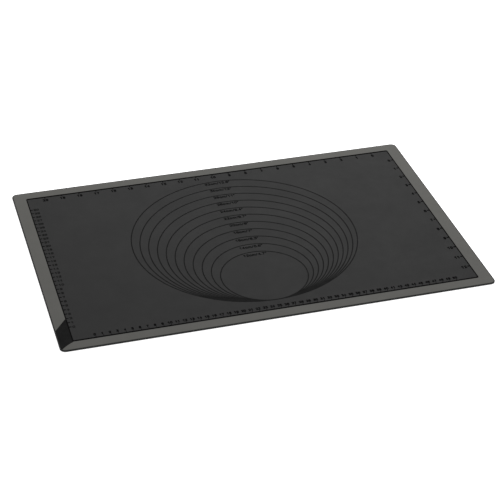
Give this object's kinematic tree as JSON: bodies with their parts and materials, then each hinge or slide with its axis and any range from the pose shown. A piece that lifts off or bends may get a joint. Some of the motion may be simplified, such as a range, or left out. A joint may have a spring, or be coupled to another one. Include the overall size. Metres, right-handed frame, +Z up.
{
  "type": "silicone baking mat",
  "caption": "Flat rectangular silicone baking mat with a lighter border, printed centimetre and inch scales along its sides and nested round guides for rolling dough to size.",
  "frame": {"origin": "middle of the underside", "axes": "+X to the right along the long side, +Y from the front edge to the back, +Z up"},
  "size_m": [0.6, 0.4, 0.0022],
  "materials": {
    "dark_silicone": "matt, faintly satin",
    "glass_cloth": "plain-woven glass",
    "grey_ink": "satin silicone ink",
    "black_ink": "satin silicone ink"
  },
  "bodies": {
    "root": {"base_sheet": "dark_silicone", "glass_cloth": "glass_cloth", "edge_seal": "dark_silicone", "top_sheet": "dark_silicone", "border_band": "grey_ink", "corner_panel": "black_ink", "frame_line": "black_ink", "guide_circles": "black_ink", "front_ticks": "black_ink", "front_numbers": "black_ink", "left_ticks": "black_ink", "left_numbers": "black_ink", "back_ticks": "black_ink", "back_numbers": "black_ink", "right_ticks": "black_ink", "right_numbers": "black_ink", "circle_label_12cm": "black_ink", "circle_label_14cm": "black_ink", "circle_label_16cm": "black_ink", "circle_label_18cm": "black_ink", "circle_label_20cm": "black_ink", "circle_label_22cm": "black_ink", "circle_label_24cm": "black_ink", "circle_label_26cm": "black_ink", "circle_label_28cm": "black_ink", "circle_label_30cm": "black_ink", "circle_label_32cm": "black_ink"}
  },
  "joints": []
}
